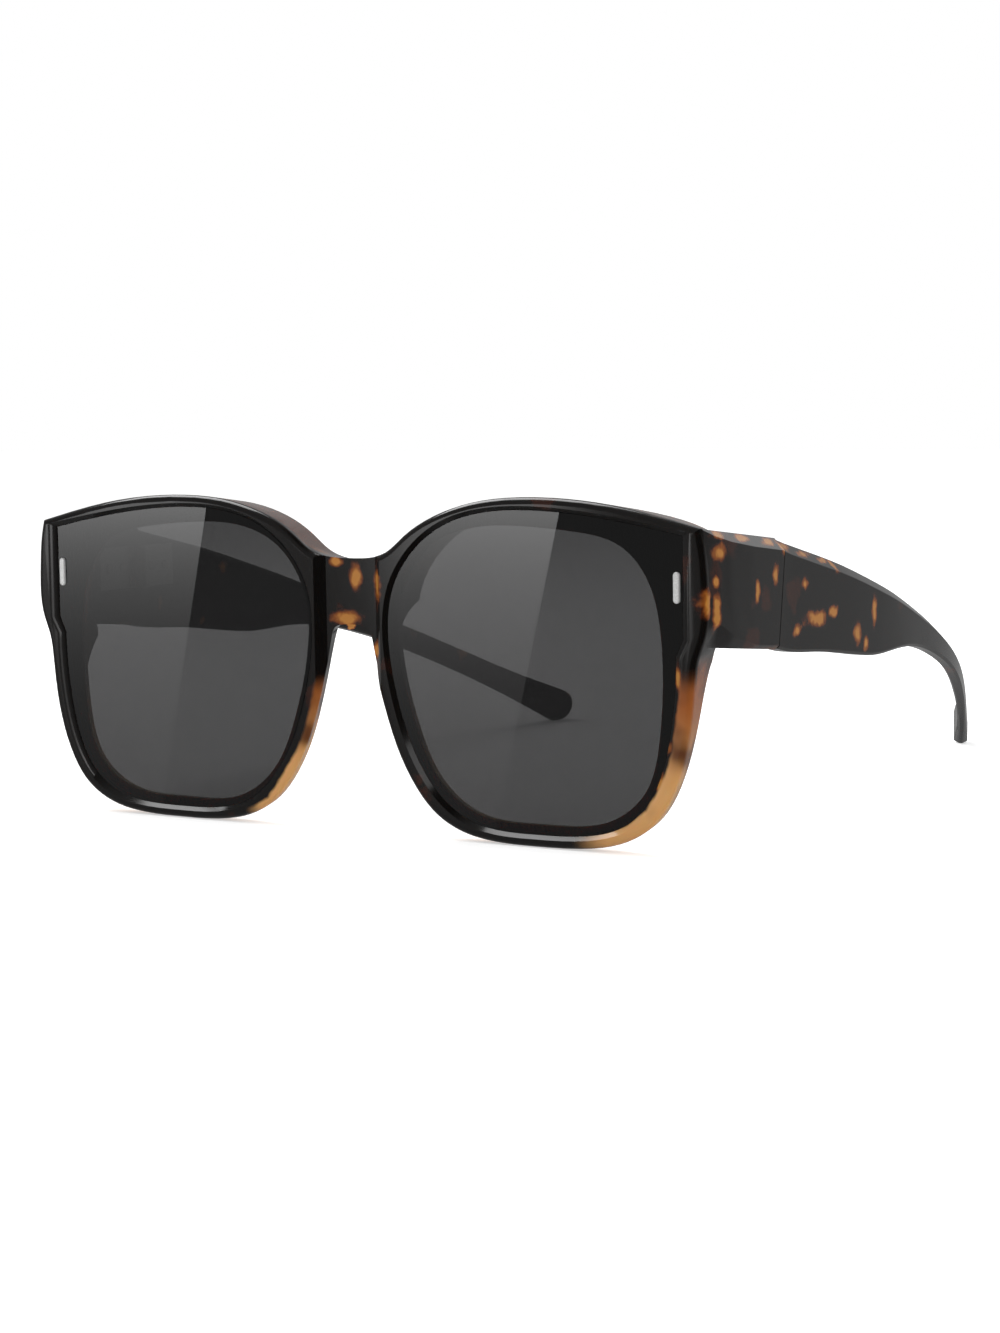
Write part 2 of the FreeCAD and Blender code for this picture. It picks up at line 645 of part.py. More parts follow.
def main():
    nodes = [front_frame()]
    for side, word in ((1, "left"), (-1, "right")):
        nodes.append(lens(side, word))
        nodes.append(accent(side, word))
        nodes.append(temple(side, word))
        nodes.append(hinge_leaf(side, word, -1))
        nodes.append(hinge_leaf(side, word, 1))
        nodes.append(hinge_screw(side, word))
        nodes.append(leaf_screws(side, word, -1))
        nodes.append(leaf_screws(side, word, 1))
    doc.recompute()
    for item in doc.Objects:
        if "Invalid" in item.State or "Error" in item.State:
            raise ValueError("%s failed: %s" % (item.Name, item.State))
    for node in nodes:
        check(node)
    os.makedirs("parts", exist_ok=True)
    for node in nodes:
        node.Shape.exportStep("parts/%s.step" % node.Label)
        box = node.Shape.BoundBox
        print("%-28s solids %d  volume %9.2f  X %.1f..%.1f Y %.1f..%.1f Z %.1f..%.1f" % (
            node.Label, len(node.Shape.Solids), node.Shape.Volume, box.XMin, box.XMax, box.YMin, box.YMax,
            box.ZMin, box.ZMax))


main()
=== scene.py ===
# %% [markdown]
# # Fitover sunglasses
# Fitover sunglasses are worn on top of ordinary glasses, so their front is a
# deep tray: two flat tinted lenses in front, and walls behind them that shut
# out light from above and from the sides. The frame is one tortoise moulding.
# Every piece arrives from the construction model in metres, in its place, and
# this lesson only gives it soft edges, a finish, light and a camera.

# %% Load the construction model
import bmesh
import bpy
import math
from mathutils import Matrix, Vector


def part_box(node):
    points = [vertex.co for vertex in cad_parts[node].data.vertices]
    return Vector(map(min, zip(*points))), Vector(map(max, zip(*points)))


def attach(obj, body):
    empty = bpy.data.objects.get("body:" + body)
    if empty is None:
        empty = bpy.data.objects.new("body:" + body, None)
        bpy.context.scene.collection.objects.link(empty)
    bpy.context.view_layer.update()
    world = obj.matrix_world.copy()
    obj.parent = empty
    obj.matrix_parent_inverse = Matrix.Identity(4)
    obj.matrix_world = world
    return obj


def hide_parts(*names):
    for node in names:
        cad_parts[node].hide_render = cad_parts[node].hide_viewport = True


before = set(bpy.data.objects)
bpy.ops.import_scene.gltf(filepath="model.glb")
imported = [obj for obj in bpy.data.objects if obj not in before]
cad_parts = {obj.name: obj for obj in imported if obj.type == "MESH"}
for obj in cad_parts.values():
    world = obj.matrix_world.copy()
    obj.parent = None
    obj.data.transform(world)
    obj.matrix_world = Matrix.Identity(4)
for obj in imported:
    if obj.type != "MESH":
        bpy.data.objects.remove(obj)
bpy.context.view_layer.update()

MM = 0.001
front_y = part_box("front_frame")[0].y
print("pieces:", len(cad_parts), "front of the rims at", round(front_y, 4))

# %% [markdown]
# ## The camera
# The photograph was taken from the wearer's left and a little above, with a
# long lens. The angles, the distance and the focal length were found by laying
# the outline of the model over the photograph, so they are real sizes: the
# camera is half a metre away. A helper turns a pixel into a direction, which
# is handy later for placing the cards that the lenses mirror.

# %% Place the camera
AZIMUTH, ELEVATION, ROLL = map(math.radians, (31.398, 5.650, -0.850))
AIM = Vector((0, front_y, 30 * MM))
SIDEWAYS, UPWARD, DISTANCE = 27.556 * MM, 0.321 * MM, 488.39 * MM
FOCAL_PIXELS, PHOTO_WIDTH, PHOTO_HEIGHT = 2700.2, 1000, 1333
SENSOR = 36

back = Vector((math.sin(AZIMUTH) * math.cos(ELEVATION), -math.cos(AZIMUTH) * math.cos(ELEVATION),
               math.sin(ELEVATION)))
level = Vector((math.cos(AZIMUTH), math.sin(AZIMUTH), 0))
upright = back.cross(level)
right = level * math.cos(ROLL) + upright * math.sin(ROLL)
up = upright * math.cos(ROLL) - level * math.sin(ROLL)
eye = AIM + DISTANCE * back + SIDEWAYS * right + UPWARD * up

camera_data = bpy.data.cameras.new("camera")
camera_data.sensor_width = SENSOR
camera_data.lens = FOCAL_PIXELS * SENSOR / PHOTO_HEIGHT
camera_data.clip_start = 0.01
camera = bpy.data.objects.new("camera", camera_data)
camera.matrix_world = Matrix.Translation(eye) @ Matrix((right, up, back)).transposed().to_4x4()
bpy.context.scene.collection.objects.link(camera)
bpy.context.scene.camera = camera


def sight(x, y):
    """The direction in which a pixel of the photograph looks."""
    across = (x - PHOTO_WIDTH / 2) / FOCAL_PIXELS
    down = (y - PHOTO_HEIGHT / 2) / FOCAL_PIXELS
    return (right * across - up * down - back).normalized()


print("camera at", [round(value, 3) for value in eye], "lens", round(camera_data.lens, 1), "mm")

# %% [markdown]
# ## Building node trees
# Every material below is a small tree of nodes. One helper adds a node, sets
# its options, and either links or sets each of its inputs, so that a tree
# reads from top to bottom like a recipe. The others add the nodes that are
# wanted again and again: sums, ramps, blends and noise.


# %% Helpers for nodes
def add(tree, kind, inputs=None, **settings):
    item = tree.nodes.new(kind)
    for key, value in settings.items():
        setattr(item, key, value)
    for key, value in (inputs or {}).items():
        if isinstance(value, bpy.types.NodeSocket):
            tree.links.new(value, item.inputs[key])
        else:
            item.inputs[key].default_value = value
    return item


def maths(tree, operation, first, second=0.0, third=0.0):
    inputs = {0: first, 1: second, 2: third}
    return add(tree, "ShaderNodeMath", inputs, operation=operation).outputs[0]


def product(tree, first, *others):
    for value in others:
        first = maths(tree, "MULTIPLY", first, value)
    return first


def vectors(tree, operation, first, second):
    return add(tree, "ShaderNodeVectorMath", {0: first, 1: second}, operation=operation).outputs[0]


def ramp(tree, value, low, high, start=0.0, end=1.0):
    """A value that goes from start to end while the input goes from low to high."""
    limits = {"Value": value, "From Min": low, "From Max": high, "To Min": start, "To Max": end}
    return add(tree, "ShaderNodeMapRange", limits, interpolation_type="SMOOTHSTEP").outputs[0]


def blend(tree, share, first, second):
    """A colour between two colours."""
    return add(tree, "ShaderNodeMix", {0: share, 6: first, 7: second}, data_type="RGBA").outputs[2]


def between(tree, share, first, second):
    """A number between two numbers."""
    return add(tree, "ShaderNodeMix", {0: share, 2: first, 3: second}).outputs[0]


def noise(tree, place, scale, detail):
    return add(tree, "ShaderNodeTexNoise", {"Vector": place, "Scale": scale, "Detail": detail}).outputs


def object_place(tree):
    return add(tree, "ShaderNodeTexCoord").outputs["Object"]


def axes_of(tree, place):
    return add(tree, "ShaderNodeSeparateXYZ", {0: place}).outputs


def finish_tree(tree, surface, kind="Material"):
    add(tree, "ShaderNodeOutput" + kind, {"Surface": surface.outputs[0]})


def empty_tree(owner):
    owner.use_nodes = True
    owner.node_tree.nodes.clear()
    return owner.node_tree


def new_group(name, inputs, outputs):
    """A group of nodes with named sockets, and its own input and output nodes."""
    tree = bpy.data.node_groups.new(name, "ShaderNodeTree")
    kinds = {"value": "NodeSocketFloat", "place": "NodeSocketVector", "colour": "NodeSocketColor"}
    for label, kind in inputs:
        tree.interface.new_socket(label, in_out="INPUT", socket_type=kinds[kind])
    for label, kind in outputs:
        tree.interface.new_socket(label, in_out="OUTPUT", socket_type=kinds[kind])
    return tree, tree.nodes.new("NodeGroupInput").outputs, tree.nodes.new("NodeGroupOutput").inputs


print("node helpers ready")

# %% [markdown]
# ## The room
# The glasses stand on a white sheet that fades into a white room. The lamps
# stay at a plain level, so the white of the background comes from the floor's
# own pale colour, a glow that lights nothing but the picture, and what the
# camera sees of the room. A soft shadow stays where the rims and the tips
# touch the floor. Polished pieces mirror the
# pale room behind them, but a dim studio in front, where the camera stands,
# and black cloth on its right. They don't mirror the floor, which would wash
# out the lower half of a lens.

# %% Floor and room
WHITE = (1, 1, 1, 1)
FLOOR_SIZE, FLOOR_COLOUR, FLOOR_GLOW = 6.0, (0.90, 0.90, 0.90, 1), 0.50
ROOM_LIGHT, FRONT_MIRRORED, SIDE_MIRRORED, BEHIND_MIRRORED = 0.62, 0.26, 0.03, 0.34
CLOTH_STARTS, CLOTH_FULL, BEHIND_FULL = -0.2, 0.25, 0.7


def seen_plainly(tree, rays):
    """A mask of what the camera sees, straight or through a lens."""
    return maths(tree, "MAXIMUM", rays["Is Camera Ray"], rays["Is Transmission Ray"])


bpy.ops.mesh.primitive_plane_add(size=FLOOR_SIZE)
floor = bpy.context.object
floor.name = "floor"
floor.visible_glossy = False
paper = bpy.data.materials.new("white paper")
tree = empty_tree(paper)
seen = seen_plainly(tree, add(tree, "ShaderNodeLightPath").outputs)
sheet = add(tree, "ShaderNodeBsdfDiffuse", {"Color": FLOOR_COLOUR})
glow = add(tree, "ShaderNodeEmission", {"Color": WHITE, "Strength": product(tree, seen, FLOOR_GLOW)})
finish_tree(tree, add(tree, "ShaderNodeAddShader", {0: sheet.outputs[0], 1: glow.outputs[0]}))
floor.data.materials.append(paper)

room = bpy.data.worlds.new("white room")
bpy.context.scene.world = room
tree = empty_tree(room)
rays = add(tree, "ShaderNodeLightPath").outputs
seen = seen_plainly(tree, rays)
towards = axes_of(tree, add(tree, "ShaderNodeTexCoord").outputs["Generated"])
ahead = ramp(tree, towards["X"], CLOTH_STARTS, CLOTH_FULL, FRONT_MIRRORED, SIDE_MIRRORED)
mirrored = between(tree, ramp(tree, towards["Y"], 0.0, BEHIND_FULL), ahead, BEHIND_MIRRORED)
strength = between(tree, rays["Is Glossy Ray"], ROOM_LIGHT, mirrored)
strength = between(tree, seen, strength, 1.0)
finish_tree(tree, add(tree, "ShaderNodeBackground", {"Color": WHITE, "Strength": strength}), "World")
bpy.context.scene.view_settings.view_transform = "Standard"
print("floor", FLOOR_SIZE, "m across, room light", ROOM_LIGHT)

# %% [markdown]
# ## The lamps
# A large soft box hangs over the glasses and draws the long highlight along
# the top of the rims. A second one fills in from the front, and a third lights
# the walls from behind, where the glow of the thin plastic is painted light,
# put into its colour in the tortoise below.


# %% Soft boxes
def soft_box(name, at, towards, wide, high, brightness):
    """A rectangular lamp of a stated brightness that faces a point."""
    data = bpy.data.lights.new(name, "AREA")
    data.shape = "RECTANGLE"
    data.size, data.size_y = wide, high
    data.energy = brightness * wide * high * math.pi
    item = bpy.data.objects.new(name, data)
    item.location = at
    item.rotation_euler = (Vector(at) - Vector(towards)).to_track_quat("Z", "Y").to_euler()
    item.visible_camera = False
    bpy.context.scene.collection.objects.link(item)
    return item


MIDDLE = Vector((0, 0, 30 * MM))
soft_box("top_box", (-0.38, 0.06, 0.65), MIDDLE, 0.50, 0.46, 5.4)
soft_box("front_box", (0.80, -0.60, 0.75), MIDDLE, 0.45, 0.45, 1.6)
soft_box("rear_box", (0.05, 0.75, 0.52), MIDDLE, 0.70, 0.44, 0.5)
print("three soft boxes")

# %% [markdown]
# ## What the lenses mirror
# A flat lens works as a mirror: what shows in it is the room in front, turned
# over. Each lens in the photograph mirrors a bright card whose slanting edge
# crosses it, brightest at the top and fading quickly downwards. The card is
# placed the easy way: draw it behind the lens, where its mirror image seems to
# be, and turn it over at the lens.

# %% Bright cards
CARD_AWAY = 0.35
BRIGHT_AT, FADES_OVER, BRIGHTEST = 11 * MM, 27 * MM, 3.0
CARDS = {"card_right": ((50, 440), (216, 440), (155, 860), (50, 860)),
         "card_left": ((386, 440), (573.5, 440), (490, 860), (386, 860))}
mirror_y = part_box("lens_left")[0].y

card_paint = bpy.data.materials.new("bright card")
tree = empty_tree(card_paint)
height = axes_of(tree, object_place(tree))["Z"]
rise = maths(tree, "DIVIDE", maths(tree, "SUBTRACT", height, BRIGHT_AT), FADES_OVER)
fade = maths(tree, "MINIMUM", maths(tree, "EXPONENT", rise), BRIGHTEST)
fade = maths(tree, "ADD", fade, FRONT_MIRRORED)
finish_tree(tree, add(tree, "ShaderNodeEmission", {"Color": WHITE, "Strength": fade}))
for name, pixels in CARDS.items():
    corners = []
    for pixel in pixels:
        look = sight(*pixel)
        image = eye + look * ((mirror_y + CARD_AWAY - eye.y) / look.y)
        corners.append((image.x, 2 * mirror_y - image.y, image.z))
    mesh = bpy.data.meshes.new(name)
    mesh.from_pydata(corners, [], [(0, 1, 2, 3)])
    mesh.materials.append(card_paint)
    card = bpy.data.objects.new(name, mesh)
    bpy.context.scene.collection.objects.link(card)
    for kind in ("camera", "diffuse", "transmission", "volume_scatter", "shadow"):
        setattr(card, "visible_" + kind, False)
    print(name, [[round(value, 3) for value in corner] for corner in corners])

# %% [markdown]
# ## Marks of handling
# Even new plastic and metal aren't perfectly even: the polish varies a little
# and fine marks catch the light. Every finish here wants that, so it is a
# group, built once and given its own scale and depth in each material.

# %% Handling marks
FINE_MARKS = 6.0

marks, given, out = new_group(
    "handling marks", [("Place", "place"), ("Scale", "value"), ("Amount", "value"), ("Base", "value")],
    [("Roughness", "value"), ("Height", "value")])
cloud = add(marks, "ShaderNodeTexNoise", {"Vector": given["Place"], "Scale": given["Scale"], "Detail": 5.0,
                                          "Roughness": 0.6}).outputs[0]
uneven = product(marks, maths(marks, "SUBTRACT", cloud, 0.5), given["Amount"])
marks.links.new(maths(marks, "ADD", given["Base"], uneven), out["Roughness"])
fine = noise(marks, given["Place"], product(marks, given["Scale"], FINE_MARKS), 3.0)[0]
marks.links.new(product(marks, fine, given["Amount"]), out["Height"])


def marked(tree, place, scale, amount, base):
    """The handling marks in one material, as their roughness and their height."""
    inputs = {"Place": place, "Scale": scale, "Amount": amount, "Base": base}
    return add(tree, "ShaderNodeGroup", inputs, node_tree=marks).outputs


print("group:", marks.name)

# %% [markdown]
# ## Tortoise
# Tortoise plastic is cast from amber with dark brown swirled into it. Where it
# is thick it looks nearly black, with flakes of amber that lie near the
# surface. Where it is thin, as in the walls behind the rims, light comes
# through and it glows amber with brown clouds. That glow is painted light, put
# into the colour of the walls on top of their own amber. So the colour needs
# three things: flakes in chosen places, flakes strewn at random, and a mask of
# the thin walls, where the glow is painted. A flake is a ragged oval: the
# distance from its middle, stretched along each axis, with noise added to its
# edge.

# %% A ragged flake
FLAKE_ENDS, FLAKE_FULL = 1.75, 0.2

flake, given, out = new_group(
    "flake", [("Place", "place"), ("Middle", "place"), ("Reach", "place"), ("Ragged", "value")],
    [("Mask", "value")])
offset = vectors(flake, "SUBTRACT", given["Place"], given["Middle"])
scaled = vectors(flake, "DIVIDE", offset, given["Reach"])
away = add(flake, "ShaderNodeVectorMath", {0: scaled}, operation="LENGTH").outputs["Value"]
away = maths(flake, "ADD", away, given["Ragged"])
flake.links.new(ramp(flake, away, FLAKE_ENDS, FLAKE_FULL), out["Mask"])
print("group:", flake.name)

# %% [markdown]
# The strewn flakes come from a pattern of cells whose walls are bent by noise.
# Every cell has a random number, and only the higher half of them get a flake,
# larger with a higher number. The solid plastic runs from nearly black through
# dark red and orange to gold in the middle of a flake. The thin walls carry a
# painted glow over their own amber: paler, towards honey, at their foot, and
# dimmer upwards, where brown clouds take more of it.

# %% Tortoise colour
NEARLY_BLACK, DARK_RED = (0.0042, 0.0032, 0.0028, 1), (0.060, 0.013, 0.005, 1)
ORANGE, GOLD = (0.25, 0.072, 0.012, 1), (0.50, 0.21, 0.040, 1)
# The two wall colours below are the amber of the thin plastic with painted glow in it, paler at the foot.
AMBER_AND_GLOW, HONEY_GLOW, BROWN = (0.35, 0.105, 0.023, 1), (0.74, 0.40, 0.15, 1), (0.075, 0.020, 0.008, 1)
TO_RED, TO_ORANGE, TO_GOLD = (0.02, 0.45), (0.22, 0.66), (0.60, 0.95)
WARP_SCALE, WARP = 260.0, 6 * MM
CELLS_PER_METRE, FLAKED_FROM, LARGEST_FLAKE, FLAKE_EDGE = 120.0, 0.50, 0.42, (0.05, -0.10)
CLOUD_SCALE, CLOUD_EDGE = 70.0, (0.38, 0.56)
# Heights where the painted glow of the walls turns paler towards the foot and dimmer towards the top.
PALE_GLOW_STARTS, PALE_GLOW_FULL, PALE_GLOW_CLEARS = 27 * MM, 10 * MM, 0.14
DIM_GLOW_STARTS, DIM_GLOW_FULL, DIM_GLOW_BY = 46 * MM, 55 * MM, -0.16

tortoise, given, out = new_group(
    "tortoise", [("Place", "place"), ("Chosen", "value"), ("Painted glow", "value"), ("Strewn", "value")],
    [("Color", "colour")])
warp = noise(tortoise, given["Place"], WARP_SCALE, 4.0)["Color"]
warp = vectors(tortoise, "SUBTRACT", warp, (0.5, 0.5, 0.5))
bent = vectors(tortoise, "ADD", given["Place"], vectors(tortoise, "MULTIPLY", warp, (WARP, WARP, WARP)))
cells = add(tortoise, "ShaderNodeTexVoronoi", {"Vector": bent, "Scale": CELLS_PER_METRE})
pick = add(tortoise, "ShaderNodeSeparateColor", {0: cells.outputs["Color"]}).outputs[0]
wanted = product(tortoise, ramp(tortoise, pick, FLAKED_FROM, 1.0), LARGEST_FLAKE)
strewn = ramp(tortoise, maths(tortoise, "SUBTRACT", cells.outputs["Distance"], wanted), *FLAKE_EDGE)
amber = maths(tortoise, "MAXIMUM", product(tortoise, strewn, given["Strewn"]), given["Chosen"])
red = blend(tortoise, ramp(tortoise, amber, *TO_RED), NEARLY_BLACK, DARK_RED)
orange = blend(tortoise, ramp(tortoise, amber, *TO_ORANGE), red, ORANGE)
solid = blend(tortoise, ramp(tortoise, amber, *TO_GOLD), orange, GOLD)

# Painted light: the thin walls glow as if lit through, paler at their foot and dimmer at the top.
height = axes_of(tortoise, given["Place"])["Z"]
low = ramp(tortoise, height, PALE_GLOW_STARTS, PALE_GLOW_FULL)
high = ramp(tortoise, height, DIM_GLOW_STARTS, DIM_GLOW_FULL)
cloud = noise(tortoise, given["Place"], CLOUD_SCALE, 2.5)[0]
clear = maths(tortoise, "MULTIPLY_ADD", high, DIM_GLOW_BY, cloud)
clear = ramp(tortoise, maths(tortoise, "MULTIPLY_ADD", low, PALE_GLOW_CLEARS, clear), *CLOUD_EDGE)
painted_glow = blend(tortoise, clear, BROWN, blend(tortoise, low, AMBER_AND_GLOW, HONEY_GLOW))
tortoise.links.new(blend(tortoise, given["Painted glow"], solid, painted_glow), out["Color"])
print("group:", tortoise.name)

# %% [markdown]
# The flakes that can be told apart in the photograph are listed here, in
# millimetres: across, back from the rims, up, then how far each reaches along
# those axes. The frame and the temples share one recipe, so that the pattern
# runs on across the hinge seam as it does on the real moulding.

# %% The flakes
FLAKES = {
    "front": [
        (73, 1.0, 43.8, 3, 1.1, 2.1), (73, 3.6, 42.0, 3, 1.1, 2.8), (73, 5.2, 51.8, 3, 2.0, 1.3),
        (73, 3.8, 47, 3, 0.8, 1.0), (73, 25.0, 46.9, 2, 1.0, 1.6), (73, 17.7, 44.1, 2, 0.8, 1.8),
        (1.1, 1.5, 46.6, 1.1, 2, 2.3), (6.3, 1.2, 45.3, 1.0, 2, 3.2), (-1.0, 1.5, 39.0, 2.6, 2, 1.3),
        (5.6, 1.0, 33.4, 0.8, 2, 1.4), (-3.0, 1.5, 49.2, 1.4, 2, 0.8), (64.8, 0, 18.8, 1.1, 1.5, 1.2),
        (63.2, 0, 13.3, 1.3, 1.5, 1.8), (67.0, 0, 31.3, 0.7, 1.5, 1.8), (72.3, 5.5, 55.0, 1.8, 2.4, 0.7),
        (72.3, 14.5, 53.9, 1.8, 2.6, 0.6), (72.3, 24.0, 52.6, 1.8, 2.4, 0.7),
        (72.6, 28.4, 51.4, 1.4, 1.0, 1.3)],
    "temple": [
        (74, 41.2, 38.1, 3, 3.6, 1.3), (74, 48.0, 38.7, 3, 1.6, 1.0), (74, 33.5, 36.6, 3, 1.3, 1.0),
        (74, 66.6, 38.0, 3, 1.0, 2.6), (74, 58.8, 33.6, 3, 1.7, 1.7), (74, 62.6, 31.8, 3, 1.2, 1.3),
        (74, 36.6, 44.5, 3, 1.5, 1.0), (72.6, 31.5, 51.6, 1.6, 3.0, 0.9), (72.8, 39.0, 49.9, 1.5, 3.4, 0.7),
        (73, 50.5, 47.2, 1.6, 1.2, 1.4), (73, 47.0, 48.2, 1.5, 2.6, 0.6)]}
print("chosen flakes:", len(FLAKES["front"]), "and", len(FLAKES["temple"]))

# %% [markdown]
# The mask of the thin walls is worked out from where a point lies. It starts
# a little behind the rims, along a line that noise makes uneven. In two places
# that the photograph shows it already starts on the rim, a set distance inside
# the outline: at the wearer's left corner below the arm, and on the right of
# the nose. The arms and the root of the nose are thick. Each pair below says
# where a mask is empty and where it is full, and the two edges are points
# along an outline, across and up, all in millimetres.

# %% The thin walls
WALL_STARTS, WALL_FULL, WALL_SCALE, WALL_UNEVEN = 1.0 * MM, 2.4 * MM, 150.0, 2.4 * MM
BRIDGE_ACROSS, BRIDGE_SET_BACK = (10, 8), 2.6 * MM
CORNER_INSET, CORNER_ACROSS = (-3.0, -2.2), (46, 54)
NOSE_INSET, NOSE_STARTS, NOSE_ENDS = (-1.5, -0.7), (-24, -20), (-3, -5)
RIM_HEIGHT = (33, 28)
ARM_ACROSS, ARM_HEIGHT = (66, 69), (32, 35)
ROOT_ACROSS, ROOT_STARTS, ROOT_ENDS = (14, 10), (24, 29), (52, 47)
CORNER_EDGE = [(70.6, 33.9), (69.6, 26.5), (68.2, 17.7), (66.1, 11.6), (62.6, 6.1), (57.0, 2.3), (47.0, 0.2)]
NOSE_EDGE = [(-23.5, 1.6), (-18.0, 4.5), (-13.4, 9.6), (-9.9, 16.0), (-7.4, 23.0), (-5.4, 30.2)]


def span(tree, value, low, high, start=0.0, end=1.0):
    """A ramp between two sizes in millimetres."""
    return ramp(tree, value, low * MM, high * MM, start, end)


def beyond(tree, axes, outline):
    """How far a place lies beyond an outline, towards +X and downwards: less than zero inside it."""
    furthest = None
    for first, second in zip(outline, outline[1:]):
        run, rise = abs(second[0] - first[0]), abs(second[1] - first[1])
        length = math.hypot(rise, run)
        out_x, out_z = rise / length, -run / length
        along = maths(tree, "MULTIPLY_ADD", axes["X"], out_x, product(tree, axes["Z"], out_z))
        away = maths(tree, "SUBTRACT", along, (first[0] * out_x + first[1] * out_z) * MM)
        furthest = maths(tree, "MAXIMUM", away, furthest) if furthest else away
    return furthest


def thin_walls(tree, place):
    """A mask of the translucent walls, where their glow is painted into the colour."""
    axes = axes_of(tree, place)
    across = maths(tree, "ABSOLUTE", axes["X"])
    shift = maths(tree, "SUBTRACT", noise(tree, place, WALL_SCALE, 3.0)[0], 0.5)
    shift = product(tree, shift, WALL_UNEVEN)
    depth = maths(tree, "ADD", maths(tree, "SUBTRACT", axes["Y"], front_y), shift)
    depth = maths(tree, "SUBTRACT", depth, span(tree, across, *BRIDGE_ACROSS, 0.0, BRIDGE_SET_BACK))
    behind = ramp(tree, depth, WALL_STARTS, WALL_FULL)
    corner = span(tree, maths(tree, "ADD", beyond(tree, axes, CORNER_EDGE), shift), *CORNER_INSET)
    corner = product(tree, corner, span(tree, axes["X"], *CORNER_ACROSS))
    nose = span(tree, maths(tree, "ADD", beyond(tree, axes, NOSE_EDGE), shift), *NOSE_INSET)
    nose = product(tree, nose, span(tree, axes["X"], *NOSE_STARTS), span(tree, axes["X"], *NOSE_ENDS))
    on_rim = product(tree, maths(tree, "MAXIMUM", corner, nose), span(tree, axes["Z"], *RIM_HEIGHT))
    arm = product(tree, span(tree, across, *ARM_ACROSS), span(tree, axes["Z"], *ARM_HEIGHT))
    root = product(tree, span(tree, axes["Z"], *ROOT_STARTS), span(tree, across, *ROOT_ACROSS),
                   span(tree, axes["Z"], *ROOT_ENDS))
    thick = maths(tree, "MAXIMUM", arm, root)
    return product(tree, maths(tree, "MAXIMUM", behind, on_rim), maths(tree, "SUBTRACT", 1.0, thick))


print("walls start", round(WALL_STARTS / MM, 1), "mm behind the rims")

# %% [markdown]
# One recipe makes the plastic of all three mouldings. The side that the
# photograph shows has its flakes listed one by one and only a few faint strewn
# ones. The hidden arm and temple have strewn flakes at full strength.

# %% The tortoise materials
FAINT, STRONG = 0.22, 1.0
HIDDEN_ARM = (-64, -70)
RAGGED_SCALE, RAGGED_BY = 400.0, 2.0
PLASTIC_WEAR = (420.0, 0.04, 0.13)


def tortoise_material(name, flakes, strewn, walls):
    paint = bpy.data.materials.new(name)
    tree = empty_tree(paint)
    place = object_place(tree)
    ragged = maths(tree, "SUBTRACT", noise(tree, place, RAGGED_SCALE, 3.0)[0], 0.5)
    ragged = product(tree, ragged, RAGGED_BY)
    chosen = None
    for x, y, z, *reach in flakes:
        inputs = {"Place": place, "Ragged": ragged, "Middle": (x * MM, front_y + y * MM, z * MM),
                  "Reach": [value * MM for value in reach]}
        spot = add(tree, "ShaderNodeGroup", inputs, node_tree=flake).outputs[0]
        chosen = maths(tree, "MAXIMUM", spot, chosen) if chosen else spot
    inputs = {"Place": place, "Strewn": strewn}
    if chosen:
        inputs["Chosen"] = chosen
    if walls:
        # The mask of the thin walls, where their painted glow goes.
        inputs["Painted glow"] = thin_walls(tree, place)
        inputs["Strewn"] = span(tree, axes_of(tree, place)["X"], *HIDDEN_ARM, strewn, STRONG)
    colour = add(tree, "ShaderNodeGroup", inputs, node_tree=tortoise)
    wear = marked(tree, place, *PLASTIC_WEAR)
    bump = add(tree, "ShaderNodeBump", {"Height": wear["Height"], "Strength": 0.12, "Distance": 0.02 * MM})
    finish_tree(tree, add(tree, "ShaderNodeBsdfPrincipled", {
        "Base Color": colour.outputs["Color"], "Roughness": wear["Roughness"], "IOR": 1.48,
        "Normal": bump.outputs[0], "Subsurface Weight": 0.25, "Subsurface Radius": (1.0, 0.35, 0.12),
        "Subsurface Scale": 1.2 * MM}))
    return paint


front_plastic = tortoise_material("tortoise front", FLAKES["front"], FAINT, True)
temple_plastic = tortoise_material("tortoise temple left", FLAKES["temple"], FAINT, False)
far_plastic = tortoise_material("tortoise temple right", [], STRONG, False)
print("three tortoise materials")

# %% [markdown]
# ## Smoke lens
# The lens is a flat plate of tinted plastic, so it is a clear solid with a
# grey colour: light is tinted once on its way in and once on its way out. The
# tint is a touch lighter at the top, and the polish has a very faint haze.

# %% Smoke lens
TINT_BELOW, TINT_ABOVE = (0.0410, 0.0410, 0.0415, 1), (0.0420, 0.0420, 0.0425, 1)
TINT_HEIGHT, LENS_HAZE = (5, 55), (300.0, 0.003, 0.006)

lens_tint = bpy.data.materials.new("smoke lens")
tree = empty_tree(lens_tint)
place = object_place(tree)
haze = marked(tree, place, *LENS_HAZE)
tint = blend(tree, span(tree, axes_of(tree, place)["Z"], *TINT_HEIGHT), TINT_BELOW, TINT_ABOVE)
finish_tree(tree, add(tree, "ShaderNodeBsdfPrincipled", {
    "Base Color": tint, "Roughness": haze["Roughness"], "IOR": 1.5, "Transmission Weight": 1.0}))
print("material:", lens_tint.name)

# %% [markdown]
# ## Bright metal
# The bars on the corners are satin plated, and paler than bare metal. The
# hinge inside is plain steel with a brushed finish, which is noise stretched
# along one direction. The screws and pins are turned.


